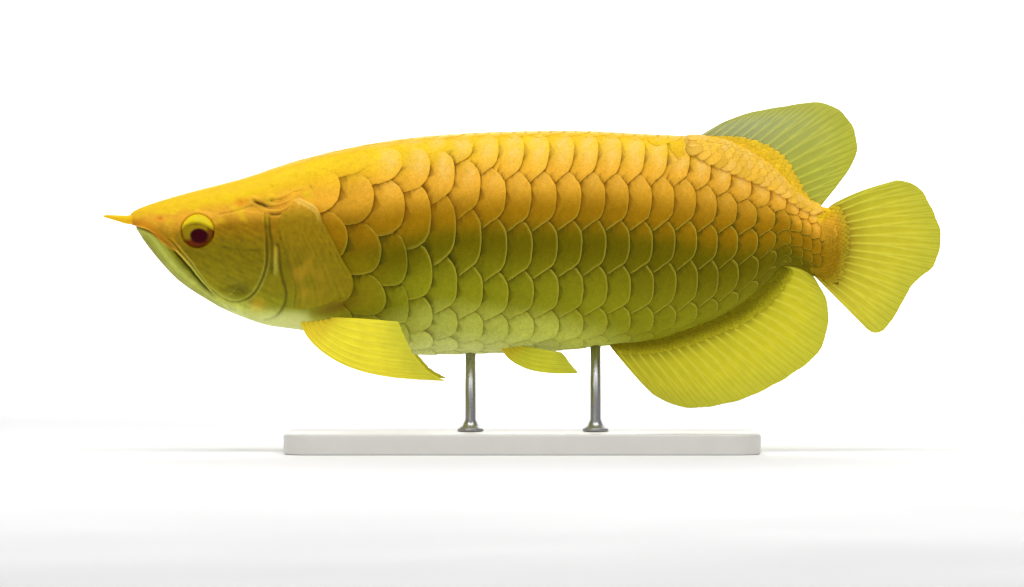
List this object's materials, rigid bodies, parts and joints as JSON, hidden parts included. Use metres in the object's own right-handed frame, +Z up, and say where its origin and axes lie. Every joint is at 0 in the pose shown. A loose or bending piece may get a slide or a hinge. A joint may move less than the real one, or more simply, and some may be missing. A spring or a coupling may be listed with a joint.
{
  "type": "asian arowana",
  "caption": "Life-size still model of a golden asian arowana, a long deep-bodied aquarium fish with large scales, held level by two rods on a flat display base.",
  "frame": {"origin": "middle of the underside of the stand's base, on the floor", "axes": "+Z up; the fish's head points to -X and its tail to +X; its left flank faces -Y"},
  "size_m": [0.5698, 0.13, 0.238],
  "materials": {
    "scaly_skin": "golden yellow back, olive brown flank, pale green belly, large shiny scales with paler rims",
    "fin_membrane": "thin yellow-green membrane with raised rays, slightly see-through",
    "eye_glass": "wet glossy eye, dark pupil, yellow and red-brown iris",
    "stand_board": "pale satin lacquered board",
    "stand_steel": "brushed steel rods"
  },
  "bodies": {
    "root": {"head": "scaly_skin", "lower_jaw": "scaly_skin", "eye_left": "eye_glass", "eye_right": "eye_glass", "gill_cover_left": "scaly_skin", "gill_cover_right": "scaly_skin", "barbel_left": "scaly_skin", "barbel_right": "scaly_skin", "trunk": "scaly_skin", "tail_stalk": "scaly_skin", "dorsal_fin": "fin_membrane", "anal_fin": "fin_membrane", "caudal_fin": "fin_membrane", "pectoral_fin_left": "fin_membrane", "pectoral_fin_right": "fin_membrane", "pelvic_fin_left": "fin_membrane", "pelvic_fin_right": "fin_membrane", "stand_base": "stand_board", "stand_rod_front": "stand_steel", "stand_rod_rear": "stand_steel"}
  },
  "joints": []
}
